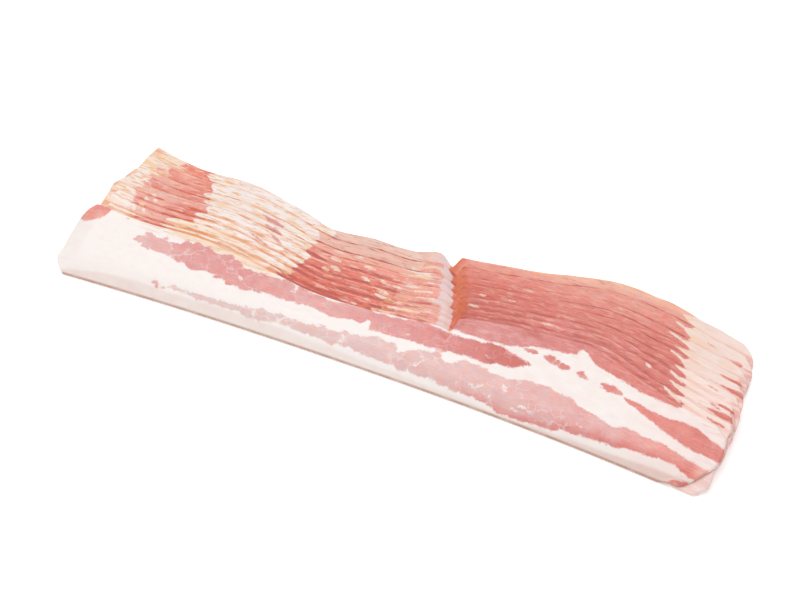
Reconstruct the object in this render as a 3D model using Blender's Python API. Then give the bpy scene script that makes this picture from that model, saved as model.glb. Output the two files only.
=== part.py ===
"""Sliced bacon: ten slices of one streaky belly, still lying against each other.

The slices are thin slabs, long in X. The first one lies flat at the back (+Y). Each later one
lies on the ones before it and reaches further forward, so that its front edge touches the
ground and its back edge stops short of the one below. All sizes are in metres, +Z is up, and
the origin is the middle of the stack's underside.
"""
import math

import bmesh
import bpy

# Driving dimensions.
SLICES = 10
THICKNESS = 0.0018
GAP = 0.0003
LAYER = THICKNESS + GAP

# Along the length: ends of the lowest and of the top slice, and the notch in their back edge.
# The top slice stops short of the others on the right.
LEFT_END = (-0.1298, -0.1343)
RIGHT_END = (0.1355, 0.1380)
TOP_SHORT_OF_RIGHT = 0.0040
NOTCH_AT = (0.0126, 0.0270)
NOTCH_STEP = 0.0020
END_STAGGER = 0.0007
LEFT_STAGGER_TURN = 2.4
RIGHT_STAGGER_TURN = 1.7
LEFT_INSET = 0.0022

# The front edge of the top slice is a shallow bow, deepest a little right of the middle.
FRONT_BOW = 0.0047
FRONT_BOW_POWER = 2.2
BOW_CENTRE = 0.0150
HALF_CHORD = 0.1310

# The side profile: a steep front, a gentler slope up to the first slice's front edge, then flat.
# The bend between the first two is rounded over this many layers, and has these rows on it.
STEEP_DEPTH = 0.0045
STEEP_LAYERS = 2.2
SLOPE_DEPTH = 0.0430
BEND_LAYERS = 1.3
BEND_ROWS = (0.0018, 0.0045, 0.0075)

# At the front right, the corner of the second slice from the top comes out under the top one:
# the top slice is lifted off the ground over the first length, and the corner then reaches out.
TOE_AT = 0.1160
TOE_LIFT = 0.0080
TOE_REACH = 0.0050
TOE_SHARE = 0.8

# Back edges close up towards the front by this ratio from slice to slice, a little unevenly.
BACK_RATIO = 0.91
BACK_STAGGER = 0.010
BACK_STAGGER_TURN = 2.1

# Back edge, as (share of the way from the notch to the end, lowest slice, top slice).
BACK_LEFT = (
    (1.00, 0.0770, 0.0276),
    (0.84, 0.0734, 0.0275),
    (0.66, 0.0742, 0.0290),
    (0.52, 0.0706, 0.0272),
    (0.36, 0.0647, 0.0238),
    (0.24, 0.0665, 0.0238),
    (0.12, 0.0666, 0.0254),
    (0.05, 0.0700, 0.0266),
    (0.00, 0.0652, 0.0270),
)
BACK_RIGHT = (
    (0.00, 0.0714, 0.0324),
    (0.15, 0.0744, 0.0350),
    (0.28, 0.0775, 0.0363),
    (0.50, 0.0839, 0.0370),
    (0.68, 0.0826, 0.0316),
    (0.85, 0.0779, 0.0268),
    (1.00, 0.0735, 0.0238),
)

# How far each corner is rounded off along X, for the lowest and for the top slice, and over what
# share of the slice's width the rounding runs.
BACK_LEFT_CORNER = (0.0020, 0.0080)
BACK_RIGHT_CORNER = (0.0060, 0.0030)
FRONT_LEFT_CORNER = 0.0030
FRONT_RIGHT_CORNER = 0.0055
TOP_FRONT_RIGHT_CORNER = 0.0100
BACK_LEFT_RUN = 0.4
BACK_RIGHT_RUN = 0.3
FRONT_LEFT_RUN = 0.3
FRONT_RIGHT_RUN = 0.5
MIDDLE_ROW = 0.5

# The mesh of one slice: its columns left of, in and right of the notch, closer together towards
# the ends, and its rows. A corner's rounding fades along the length by this power.
LEFT_COLUMNS = 20
NOTCH_COLUMNS = 3
RIGHT_COLUMNS = 18
CROWDING = 1.35
SLOPE_ROWS = 3
EDGE_MARGIN = 0.0008
CORNER_FADE = 4
HALVINGS = 40

LOWEST_COLOUR = (0.78, 0.38, 0.33, 1.0)
TOP_COLOUR = (0.88, 0.60, 0.57, 1.0)
MOIST_ROUGHNESS = 0.38


def mix(pair, share):
    """Between the lowest slice's value (share 1) and the top slice's value (share 0)."""
    return pair[1] + (pair[0] - pair[1]) * share


def back_share(index):
    """How far back a slice's back edge lies: 1 for the lowest slice, 0 for the top one."""
    last = BACK_RATIO ** (SLICES - 1)
    share = (BACK_RATIO ** index - last) / (1.0 - last)
    if 0 < index < SLICES - 1:
        share += BACK_STAGGER * math.sin(BACK_STAGGER_TURN * index)
    return share


def smooth_step(low, high, at):
    """From 0 at low to 1 at high, level at both."""
    t = min(max((at - low) / (high - low), 0.0), 1.0)
    return t * t * (3 - 2 * t)


def smooth_through(stations, at):
    """The height at a place on the smooth curve through (place, height) stations."""
    stations = sorted(stations)
    last = len(stations) - 1
    spot = 0
    while spot < last - 1 and at > stations[spot + 1][0]:
        spot += 1
    (x0, y0), (x1, y1) = stations[spot], stations[spot + 1]
    before = stations[max(spot - 1, 0)]
    after = stations[min(spot + 2, last)]
    slope0 = (y1 - before[1]) / (x1 - before[0])
    slope1 = (after[1] - y0) / (after[0] - x0)
    span = x1 - x0
    t = (at - x0) / span
    return (
        y0 * (1 + 2 * t) * (1 - t) ** 2
        + slope0 * span * t * (1 - t) ** 2
        + y1 * t * t * (3 - 2 * t)
        - slope1 * span * t * t * (1 - t)
    )


def front_line(x):
    """Y of the top slice's front edge."""
    reach = HALF_CHORD + math.copysign(BOW_CENTRE, BOW_CENTRE - x)
    return FRONT_BOW * (1.0 - (abs(x - BOW_CENTRE) / reach) ** FRONT_BOW_POWER)


def layers_under(depth):
    """How many slices lie under the top one at a depth behind its front edge."""
    steep = STEEP_LAYERS * depth / STEEP_DEPTH
    rest = (depth - STEEP_DEPTH) / (SLOPE_DEPTH - STEEP_DEPTH)
    slope = STEEP_LAYERS + (SLICES - 1 - STEEP_LAYERS) * rest
    rounding = max(BEND_LAYERS - abs(steep - slope), 0.0) ** 2 / (4 * BEND_LAYERS)
    return min(min(steep, slope) - rounding, SLICES - 1)


def front_depth(index, x):
    """How far behind the top slice's front edge a slice's own front edge lies."""
    layers = SLICES - 1 - index
    near, far = 0.0, SLOPE_DEPTH
    for _ in range(HALVINGS):
        depth = (near + far) / 2
        if layers_under(depth) < layers:
            near = depth
        else:
            far = depth
    if index == SLICES - 2:
        toe = TOE_AT + TOE_LIFT
        depth *= 1.0 - TOE_SHARE * smooth_step(toe, toe + TOE_REACH, x)
    return depth


def underside(index, x, depth):
    """Z of a slice's underside: one layer for each slice below, and never under the ground."""
    layers = max(layers_under(depth) - (SLICES - 1 - index), 0.0)
    if index == SLICES - 1:
        layers = max(layers, smooth_step(TOE_AT, TOE_AT + TOE_LIFT, x))
    return LAYER * layers


def corner_share(row, run):
    """How much of a corner's rounding is left at a row's distance from it: 1 at the corner."""
    return max(0.0, 1.0 - row / run) ** 2


def left_end(index, row):
    """X of a slice's left end, with its two corners rounded; row runs from 0, front, to 1."""
    share = back_share(index)
    front = FRONT_LEFT_CORNER * corner_share(row, FRONT_LEFT_RUN)
    back = mix(BACK_LEFT_CORNER, share) * corner_share(1.0 - row, BACK_LEFT_RUN)
    end = mix(LEFT_END, share) + LEFT_INSET * 4 * share * (1 - share)
    return end + END_STAGGER * math.sin(LEFT_STAGGER_TURN * index) + front + back


def right_end(index, row):
    """X of a slice's right end, with its two corners rounded."""
    share = back_share(index)
    front = FRONT_RIGHT_CORNER
    end = mix(RIGHT_END, share) + END_STAGGER * math.sin(RIGHT_STAGGER_TURN * index)
    if index == SLICES - 1:
        front = TOP_FRONT_RIGHT_CORNER
        end -= TOP_SHORT_OF_RIGHT
    back = mix(BACK_RIGHT_CORNER, share) * corner_share(1.0 - row, BACK_RIGHT_RUN)
    return end - front * corner_share(row, FRONT_RIGHT_RUN) - back


def back_edge(index, side, away):
    """Y of a slice's back edge, at a share of the way from the notch to the left or right end."""
    share = back_share(index)
    stations = BACK_LEFT if side == "left" else BACK_RIGHT
    return smooth_through([(place, mix((low, top), share)) for place, low, top in stations], away)


def slice_columns(index):
    """For each column of a slice, from left to right: its X, back edge Y, side, and share away."""
    notch = mix(NOTCH_AT, back_share(index))
    columns = []
    for step in range(LEFT_COLUMNS + 1):
        away = 1.0 - (step / LEFT_COLUMNS) ** CROWDING
        x = notch + (left_end(index, MIDDLE_ROW) - notch) * away
        columns.append((x, back_edge(index, "left", away), "left", away))
    low, high = back_edge(index, "left", 0.0), back_edge(index, "right", 0.0)
    for step in range(1, NOTCH_COLUMNS):
        rise = step / NOTCH_COLUMNS
        columns.append((notch + NOTCH_STEP * rise, low + (high - low) * rise, "left", 0.0))
    notch += NOTCH_STEP
    for step in reversed(range(RIGHT_COLUMNS + 1)):
        away = 1.0 - (step / RIGHT_COLUMNS) ** CROWDING
        x = notch + (right_end(index, MIDDLE_ROW) - notch) * away
        columns.append((x, back_edge(index, "right", away), "right", away))
    return columns


def row_depths(front, back):
    """Depths of a slice's rows, with rows on the bends of the side profile that it crosses."""
    depths = [front]
    if front < BEND_ROWS[-1]:
        for depth in BEND_ROWS:
            depths.append(max(depth, depths[-1] + EDGE_MARGIN))
    bend = back - EDGE_MARGIN
    if depths[-1] < SLOPE_DEPTH - EDGE_MARGIN:
        bend = min(SLOPE_DEPTH, bend)
    start = depths[-1]
    for step in range(1, SLOPE_ROWS + 1):
        depths.append(start + (bend - start) * step / SLOPE_ROWS)
    depths.append(back)
    return depths


def slice_points(index):
    """Grid of a slice's underside: a list of columns, each a list of (x, y, z) from the front."""
    grid = []
    for middle, back_y, side, away in slice_columns(index):
        end = left_end if side == "left" else right_end
        front = front_depth(index, middle)
        depths = row_depths(front, back_y - front_line(middle))
        column = []
        for depth in depths:
            row = (depth - front) / (depths[-1] - front)
            x = middle + (end(index, row) - end(index, MIDDLE_ROW)) * away ** CORNER_FADE
            column.append((x, front_line(x) + depth, underside(index, x, depth)))
        grid.append(column)
    return grid


def meat_material(name, share):
    """Moist raw bacon: redder at the back, where more of the smoked muscle shows."""
    material = bpy.data.materials.new(name)
    material.use_nodes = True
    shader = material.node_tree.nodes["Principled BSDF"]
    colour = [mix(pair, share) for pair in zip(LOWEST_COLOUR, TOP_COLOUR)]
    shader.inputs["Base Color"].default_value = colour
    shader.inputs["Roughness"].default_value = MOIST_ROUGHNESS
    return material


def make_slice(index, collection, parent):
    """One slice: its grid, moved to shape and extruded upwards by the thickness."""
    columns = slice_points(index)
    rows = len(columns[0])
    mesh = bpy.data.meshes.new(f"slice_{index:02d}")
    shape = bmesh.new()
    bmesh.ops.create_grid(shape, x_segments=len(columns) - 1, y_segments=rows - 1, size=1.0)
    shape.verts.ensure_lookup_table()
    for row in range(rows):
        for number, column in enumerate(columns):
            shape.verts[row * len(columns) + number].co = column[row]
    raised = bmesh.ops.extrude_face_region(shape, geom=shape.faces[:])["geom"]
    for corner in raised:
        if isinstance(corner, bmesh.types.BMVert):
            corner.co.z += THICKNESS
    bmesh.ops.recalc_face_normals(shape, faces=shape.faces[:])
    shape.to_mesh(mesh)
    shape.free()
    piece = bpy.data.objects.new(f"slice_{index:02d}", mesh)
    piece.data.materials.append(meat_material(f"bacon_{index:02d}", back_share(index)))
    collection.objects.link(piece)
    piece.parent = parent
    return piece


def outline_middle():
    """The middle, in X and Y, of the box round all the slices."""
    points = [point for index in range(SLICES) for column in slice_points(index) for point in column]
    xs = [point[0] for point in points]
    ys = [point[1] for point in points]
    return (min(xs) + max(xs)) / 2, (min(ys) + max(ys)) / 2


def main():
    for old in list(bpy.data.objects):
        bpy.data.objects.remove(old, do_unlink=True)
    collection = bpy.data.collections.new("sliced_bacon")
    bpy.context.scene.collection.children.link(collection)
    base = bpy.data.objects.new("stack_origin", None)
    middle_x, middle_y = outline_middle()
    base.location = (-middle_x, -middle_y, 0.0)
    collection.objects.link(base)
    for index in range(SLICES):
        make_slice(index, collection, base)


main()
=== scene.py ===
"""Looks of the sliced bacon: each CAD slice is replaced by a finely modelled one of the same form.

Sizes are in metres unless a name says otherwise. A place on a slice is given by x, along the
stack, and either by its depth behind the top slice's front edge or by its distance from the
slice's own back edge.
"""

import math

import bpy
import numpy as np
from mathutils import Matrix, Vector, kdtree


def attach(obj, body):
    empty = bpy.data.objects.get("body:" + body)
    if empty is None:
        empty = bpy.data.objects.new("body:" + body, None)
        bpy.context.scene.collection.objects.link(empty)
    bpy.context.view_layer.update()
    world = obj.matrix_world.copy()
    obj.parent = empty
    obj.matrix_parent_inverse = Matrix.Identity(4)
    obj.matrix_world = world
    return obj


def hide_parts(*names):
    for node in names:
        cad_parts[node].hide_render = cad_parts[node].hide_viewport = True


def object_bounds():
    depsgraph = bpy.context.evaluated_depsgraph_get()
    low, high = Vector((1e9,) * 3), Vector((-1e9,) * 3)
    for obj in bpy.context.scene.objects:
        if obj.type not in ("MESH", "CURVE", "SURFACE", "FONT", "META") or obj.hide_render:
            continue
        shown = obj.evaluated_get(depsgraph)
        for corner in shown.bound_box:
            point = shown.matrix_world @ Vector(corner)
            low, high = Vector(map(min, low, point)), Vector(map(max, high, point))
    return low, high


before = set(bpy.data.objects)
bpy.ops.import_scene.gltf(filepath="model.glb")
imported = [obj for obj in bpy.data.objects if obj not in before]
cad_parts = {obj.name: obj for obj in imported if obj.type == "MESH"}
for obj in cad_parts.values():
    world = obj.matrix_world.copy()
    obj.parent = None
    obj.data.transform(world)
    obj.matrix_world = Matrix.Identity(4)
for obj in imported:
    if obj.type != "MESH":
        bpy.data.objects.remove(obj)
cad_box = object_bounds()
LOW = [float(value) for value in cad_box[0]]
HIGH = [float(value) for value in cad_box[1]]

# The form of the stack, as in the part's source. A pair is for the lowest and for the top slice.
SLICES = 10
THICKNESS = 0.0018
GAP = 0.0003
LAYER = THICKNESS + GAP
LEFT_END = (-0.1298, -0.1343)
RIGHT_END = (0.1355, 0.1380)
TOP_SHORT_OF_RIGHT = 0.0040
NOTCH_AT = (0.0126, 0.0270)
NOTCH_STEP = 0.0020
END_STAGGER = 0.0007
LEFT_INSET = 0.0022
FRONT_BOW = 0.0047
FRONT_BOW_POWER = 2.2
BOW_CENTRE = 0.0150
HALF_CHORD = 0.1310
STEEP_DEPTH = 0.0045
STEEP_LAYERS = 2.2
SLOPE_DEPTH = 0.0430
TOE_AT = 0.1160
TOE_LIFT = 0.0080
TOE_REACH = 0.0050
TOE_SHARE = 0.8
BACK_RATIO = 0.91
BACK_STAGGER = 0.010
BACK_STAGGER_TURN = 2.1
LEFT_STAGGER_TURN = 2.4
RIGHT_STAGGER_TURN = 1.7
# Stations of the back edge: share of the way from the notch to the end, and Y for each of the two.
BACK_LEFT = (
    (1.00, 0.0770, 0.0276),
    (0.84, 0.0734, 0.0275),
    (0.66, 0.0742, 0.0290),
    (0.52, 0.0706, 0.0272),
    (0.36, 0.0647, 0.0238),
    (0.24, 0.0665, 0.0238),
    (0.12, 0.0666, 0.0254),
    (0.05, 0.0700, 0.0266),
    (0.00, 0.0652, 0.0270),
)
BACK_RIGHT = (
    (0.00, 0.0714, 0.0324),
    (0.15, 0.0744, 0.0350),
    (0.28, 0.0775, 0.0363),
    (0.50, 0.0839, 0.0370),
    (0.68, 0.0826, 0.0316),
    (0.85, 0.0779, 0.0268),
    (1.00, 0.0735, 0.0238),
)
BACK_LEFT_CORNER = (0.0020, 0.0080)
BACK_RIGHT_CORNER = (0.0060, 0.0030)
FRONT_LEFT_CORNER = 0.0030
FRONT_RIGHT_CORNER = 0.0055
TOP_FRONT_RIGHT_CORNER = 0.0100
BACK_LEFT_RUN = 0.4
BACK_RIGHT_RUN = 0.3
FRONT_LEFT_RUN = 0.3
FRONT_RIGHT_RUN = 0.5
CORNER_FADE = 4
MIDDLE_ROW = 0.5

# The fine meshes: places of the first rows and columns inside an edge, the step between the other
# columns, by whether the slice is the top one, and the numbers of rows.
EDGE_STEPS = (0.0, 0.00004, 0.00016, 0.00036, 0.0006, 0.0009, 0.0013)
COLUMN_STEP = {True: 0.0006, False: 0.0008}
NOTCH_COLUMNS = 9
BACK_BAND = 0.0095
BAND_ROWS = 21
TOP_ROWS = 57
MIDDLE_ROWS = 6
OUTLINE_STEP = 0.00015
DEPTH_COUNT = 2001
NOISE_CELLS = 64

# How an edge is rounded: over this distance, and how full. Bends of the side profile are rounded
# over this many layers.
RIM = 0.0008
RIM_POWER = 2.4
BEND = 1.3

# Soft bends that the solids leave out. The lower slices' left ends are tucked in, by depth, under
# the drooping end of the top slice. Its right end reaches further in the middle rows, over the
# recessed end of the slice below. Rows run from 0, front, to 1, back.
TUCK = (
    (0.022, 0.0085), (0.026, 0.0070), (0.029, 0.0046), (0.032, 0.0031), (0.036, 0.0020), (0.044, 0.0),
)
TIP_ROUND = 0.0030
TIP_ROUND_RUN = 0.008
DROOP = 0.0060
DROOP_SHARE = 0.8
DROOP_X = (-0.1235, -0.1345)
DROOP_DEPTH = (0.030, 0.018)
TOP_REACH = 0.0022
TOP_REACH_ROWS = (0.25, 0.6, 0.85, 1.0)
RECESS = 0.0022
RECESS_ROWS = (0.12, 0.35, 0.8, 0.95)
RECESS_ROUND = 0.0020
RECESS_ROUND_RUN = 0.006
NOTCH_BULGE = 0.0018
NOTCH_DIP = 0.0009
TIP_LIFT = 0.0012
NOTCH_DIP_LEFT = 0.0040
NOTCH_DIP_RIGHT = 0.0035
NOTCH_DIP_BACK = (0.0050, 0.0015)
TIP_X = (-0.112, -0.131)
TIP_DEPTH = 0.020

# The uneven back edge and the soft waves of each face: how high they are, and how long.
RAGGED = 0.00035
RAGGED_LENGTH = 0.007
RAGGED_DEPTH = 0.004
WAVES = 0.00016
WAVE_LENGTHS = (0.011, 0.006)
RIPPLES = 0.00006
RIPPLE_LENGTHS = (0.003, 0.0025)
FLAT_RIM = 0.003

# Of each lower slice's band, this much, in millimetres, goes out of sight under the next slice.
HIDDEN = 1.35

# The camera stands at the photo's viewing angle, in degrees, and looks at a spot of the source.
PHOTO_WIDTH = 800
PHOTO_HEIGHT = 600
SENSOR_WIDTH = 36.0
LENS = 67.5
CAMERA_AZIMUTH = 23.7
CAMERA_ELEVATION = 50.0
CAMERA_DISTANCE = 0.588
CAMERA_AIM = (0.0, 0.0422)
SIGHT_ROUNDS = 40


def mix(pair, share):
    """Between the lowest slice's value (share 1) and the top slice's value (share 0)."""
    return pair[1] + (pair[0] - pair[1]) * share


def back_share(index):
    """How far back a slice's back edge lies: 1 for the lowest slice, 0 for the top one."""
    last = BACK_RATIO ** (SLICES - 1)
    share = (BACK_RATIO ** index - last) / (1.0 - last)
    if 0 < index < SLICES - 1:
        share += BACK_STAGGER * math.sin(BACK_STAGGER_TURN * index)
    return share


def smooth_step(low, high, at):
    """From 0 at low to 1 at high, level at both; high may be the smaller one."""
    t = np.clip((at - low) / (high - low), 0.0, 1.0)
    return t * t * (3 - 2 * t)


def hump(at, rise, crest, fall, foot):
    """From 0 at rise to 1 at crest, and from 1 at fall back to 0 at foot."""
    return smooth_step(rise, crest, at) * smooth_step(foot, fall, at)


def along(table, at):
    """Straight lines through a table's (place, value) stations."""
    return np.interp(at, *zip(*table))


def smooth_through(stations, at):
    """The height at a place on the smooth curve through (place, height) stations."""
    stations = sorted(stations)
    last = len(stations) - 1
    spot = 0
    while spot < last - 1 and at > stations[spot + 1][0]:
        spot += 1
    (x0, y0), (x1, y1) = stations[spot], stations[spot + 1]
    before = stations[max(spot - 1, 0)]
    after = stations[min(spot + 2, last)]
    slope0 = (y1 - before[1]) / (x1 - before[0])
    slope1 = (after[1] - y0) / (after[0] - x0)
    span = x1 - x0
    t = (at - x0) / span
    return (
        y0 * (1 + 2 * t) * (1 - t) ** 2
        + slope0 * span * t * (1 - t) ** 2
        + y1 * t * t * (3 - 2 * t)
        - slope1 * span * t * t * (1 - t)
    )


def front_line(x):
    """Y of the top slice's front edge."""
    reach = HALF_CHORD + np.copysign(BOW_CENTRE, BOW_CENTRE - x)
    return FRONT_BOW * (1.0 - (np.abs(x - BOW_CENTRE) / reach) ** FRONT_BOW_POWER)


def layers_under(depth):
    """How many slices lie under the top one at a depth behind its front edge, bends rounded."""
    steep = STEEP_LAYERS * depth / STEEP_DEPTH
    rest = (depth - STEEP_DEPTH) / (SLOPE_DEPTH - STEEP_DEPTH)
    slope = STEEP_LAYERS + (SLICES - 1 - STEEP_LAYERS) * rest
    rounding = np.maximum(BEND - np.abs(steep - slope), 0.0) ** 2 / (4.0 * BEND)
    return np.minimum(np.minimum(steep, slope) - rounding, SLICES - 1)


DEPTHS = np.linspace(0.0, SLOPE_DEPTH, DEPTH_COUNT)
BEND_LAYERS = layers_under(DEPTHS)


def front_depth(index, x):
    """How far behind the top slice's front edge a slice's own front edge lies."""
    depth = np.interp(SLICES - 1 - index, BEND_LAYERS, DEPTHS)
    if index == SLICES - 2:
        toe = TOE_AT + TOE_LIFT
        depth *= 1.0 - TOE_SHARE * smooth_step(toe, toe + TOE_REACH, x)
    return depth


def underside(index, x, depth):
    """Z of a slice's underside: one layer for each slice below, and never under the ground."""
    layers = np.maximum(layers_under(depth) - (SLICES - 1 - index), 0.0)
    if index == SLICES - 1:
        layers = np.maximum(layers, smooth_step(TOE_AT, TOE_AT + TOE_LIFT, x))
    return LAYER * layers


def corner_share(row, run):
    """How much of a corner's rounding is left at a distance from it: 1 at the corner."""
    return np.maximum(0.0, 1.0 - row / run) ** 2


def left_end(index, row):
    """X of a slice's left end, with its two corners rounded; row runs from 0, front, to 1."""
    share = back_share(index)
    front = FRONT_LEFT_CORNER * corner_share(row, FRONT_LEFT_RUN)
    back = mix(BACK_LEFT_CORNER, share) * corner_share(1.0 - row, BACK_LEFT_RUN)
    end = mix(LEFT_END, share) + LEFT_INSET * 4 * share * (1 - share)
    return end + END_STAGGER * math.sin(LEFT_STAGGER_TURN * index) + front + back


def right_end(index, row):
    """X of a slice's right end, with its two corners rounded."""
    share = back_share(index)
    front = FRONT_RIGHT_CORNER
    end = mix(RIGHT_END, share) + END_STAGGER * math.sin(RIGHT_STAGGER_TURN * index)
    if index == SLICES - 1:
        front = TOP_FRONT_RIGHT_CORNER
        end -= TOP_SHORT_OF_RIGHT
    back = mix(BACK_RIGHT_CORNER, share) * corner_share(1.0 - row, BACK_RIGHT_RUN)
    return end - front * corner_share(row, FRONT_RIGHT_RUN) - back


def source_middle():
    """X and Y, in the source's own frame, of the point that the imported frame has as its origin."""
    top = SLICES - 1
    return left_end(top, MIDDLE_ROW) - LOW[0], front_line(left_end(top, 0.0)) - LOW[1]


MIDDLE = source_middle()


def back_edge(index, side, away):
    """Y of a slice's back edge; away runs from 0 at the notch to 1 at the slice's end."""
    share = back_share(index)
    stations = BACK_LEFT if side == "left" else BACK_RIGHT
    return smooth_through([(place, mix((low, top), share)) for place, low, top in stations], away)


def noise(u, v, seed):
    """Smooth random heights between -1 and 1, about one bump to each unit of u and v."""
    table = np.random.default_rng(seed).uniform(-1.0, 1.0, (NOISE_CELLS, NOISE_CELLS))
    i, j = np.floor(u).astype(int), np.floor(v).astype(int)
    s, t = smooth_step(0.0, 1.0, u - i), smooth_step(0.0, 1.0, v - j)
    i1, j1 = (i + 1) % NOISE_CELLS, (j + 1) % NOISE_CELLS
    i, j = i % NOISE_CELLS, j % NOISE_CELLS
    low = table[i, j] * (1 - s) + table[i1, j] * s
    high = table[i, j1] * (1 - s) + table[i1, j1] * s
    return low * (1 - t) + high * t


def notch_place(index):
    """Where a slice's notch starts and how wide its step is; middle slices bulge towards it."""
    share = back_share(index)
    bulge = NOTCH_BULGE * min(1.0, 6.0 * share * (1.0 - share))
    return mix(NOTCH_AT, share) + bulge, NOTCH_STEP - bulge


def crowded_places(end, notch, step):
    """Places from a slice's end to its notch, crowded at the end."""
    toward = math.copysign(1.0, notch - end)
    spots = [end + toward * gap for gap in EDGE_STEPS]
    count = int(abs(notch - spots[-1]) / step)
    return spots + list(np.linspace(spots[-1], notch, count)[1:])


def column_places(index):
    """X, back edge Y, side and share away of each column, crowded at the ends and the notch."""
    notch, notch_step = notch_place(index)
    step = COLUMN_STEP[index == SLICES - 1]
    low, high = back_edge(index, "left", 0.0), back_edge(index, "right", 0.0)
    columns = []
    end = left_end(index, MIDDLE_ROW)
    for x in crowded_places(end, notch, step):
        away = (notch - x) / (notch - end)
        columns.append((x, back_edge(index, "left", away), "left", away))
    for rise in np.linspace(0.0, 1.0, NOTCH_COLUMNS)[1:-1]:
        climb = smooth_step(0.0, 1.0, rise)
        columns.append((notch + notch_step * rise, low + (high - low) * climb, "left", 0.0))
    notch += notch_step
    end = right_end(index, MIDDLE_ROW)
    for x in reversed(crowded_places(end, notch, step)):
        away = (x - notch) / (end - notch)
        columns.append((x, back_edge(index, "right", away), "right", away))
    return columns


def row_places(index, front, back):
    """Depths of the rows of one column, close together where the slice shows."""
    front_rows = [front + gap for gap in EDGE_STEPS]
    back_rows = [back - gap for gap in reversed(EDGE_STEPS)]
    if index == SLICES - 1:
        between = np.linspace(front_rows[-1], back_rows[0], TOP_ROWS + 1)[1:-1]
    else:
        band = back - BACK_BAND
        between = list(np.linspace(front_rows[-1], band, MIDDLE_ROWS + 1)[1:])
        between += list(np.linspace(band, back_rows[0], BAND_ROWS + 1)[1:-1])
    return np.array(front_rows + list(between) + back_rows)


def soft_end(index, side, rows, row, front):
    """How far a slice's end lies to the right of the solid's: tucked in, longer or recessed."""
    if side == "left":
        tuck = along(TUCK, rows) * (index < SLICES - 1)
        return tuck + TIP_ROUND * corner_share(rows, TIP_ROUND_RUN)
    if index == SLICES - 1:
        return TOP_REACH * hump(row, *TOP_REACH_ROWS)
    if index == SLICES - 2:
        rounded = RECESS_ROUND * corner_share(rows - front, RECESS_ROUND_RUN)
        return -(RECESS * hump(row, *RECESS_ROWS) + rounded)
    return 0.0


def slice_grid(index):
    """Arrays, by column and row, of x, depth behind the front line, and distance from the back."""
    xs, depths, backs = [], [], []
    for middle, back_y, side, away in column_places(index):
        end = left_end if side == "left" else right_end
        front = front_depth(index, middle)
        back = back_y - front_line(middle)
        rows = row_places(index, front, back)
        row = (rows - front) / (back - front)
        shift = end(index, row) - end(index, MIDDLE_ROW) + soft_end(index, side, rows, row, front)
        xs.append(middle + shift * away ** CORNER_FADE)
        depths.append(rows)
        backs.append(back - rows)
    return np.array(xs), np.array(depths), np.array(backs)


def edge_distance(x, depth):
    """How far each point of a slice is from its outline."""
    ring = [np.stack([x[:, 0], depth[:, 0]], 1), np.stack([x[-1], depth[-1]], 1)]
    ring += [np.stack([x[::-1, -1], depth[::-1, -1]], 1), np.stack([x[0, ::-1], depth[0, ::-1]], 1)]
    ring = np.concatenate(ring)
    dense = []
    for start, stop in zip(ring, np.roll(ring, -1, axis=0)):
        count = max(int(np.hypot(*(stop - start)) / OUTLINE_STEP), 1)
        dense.append(start + (stop - start) * np.arange(count)[:, None] / count)
    dense = np.concatenate(dense)
    tree = kdtree.KDTree(len(dense))
    for number, (u, v) in enumerate(dense):
        tree.insert((u, v, 0.0), number)
    tree.balance()
    flat = np.array([tree.find((u, v, 0.0))[2] for u, v in zip(x.ravel(), depth.ravel())])
    distance = flat.reshape(x.shape)
    distance[0], distance[-1], distance[:, 0], distance[:, -1] = 0.0, 0.0, 0.0, 0.0
    return distance


def camera_frame():
    """The camera's place, and its directions to the right, up and back."""
    azimuth, elevation = math.radians(CAMERA_AZIMUTH), math.radians(CAMERA_ELEVATION)
    flat = math.cos(elevation)
    back = np.array((math.sin(azimuth) * flat, -math.cos(azimuth) * flat, math.sin(elevation)))
    right = np.array((math.cos(azimuth), math.sin(azimuth), 0.0))
    aim = np.array((CAMERA_AIM[0] - MIDDLE[0], CAMERA_AIM[1] - MIDDLE[1], 0.0))
    return aim + CAMERA_DISTANCE * back, right, np.cross(back, right), back


def on_top_slice(outline):
    """Where the camera sees pixels of the photo on the top slice: (x, depth) in millimetres."""
    place, right, up, back = camera_frame()
    u, v = np.array(outline, float).T
    focal = LENS / SENSOR_WIDTH * PHOTO_WIDTH
    rays = np.outer(u - PHOTO_WIDTH / 2, right) - np.outer(v - PHOTO_HEIGHT / 2, up) - focal * back
    height = np.full(len(u), THICKNESS)
    for _ in range(SIGHT_ROUNDS):
        spots = place + rays * ((height - place[2]) / rays[:, 2])[:, None]
        x = spots[:, 0] + MIDDLE[0]
        depth = spots[:, 1] + MIDDLE[1] - front_line(x)
        height = (height + LAYER * layers_under(depth) + THICKNESS) / 2
    return np.stack([x, depth], 1) * 1000


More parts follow.
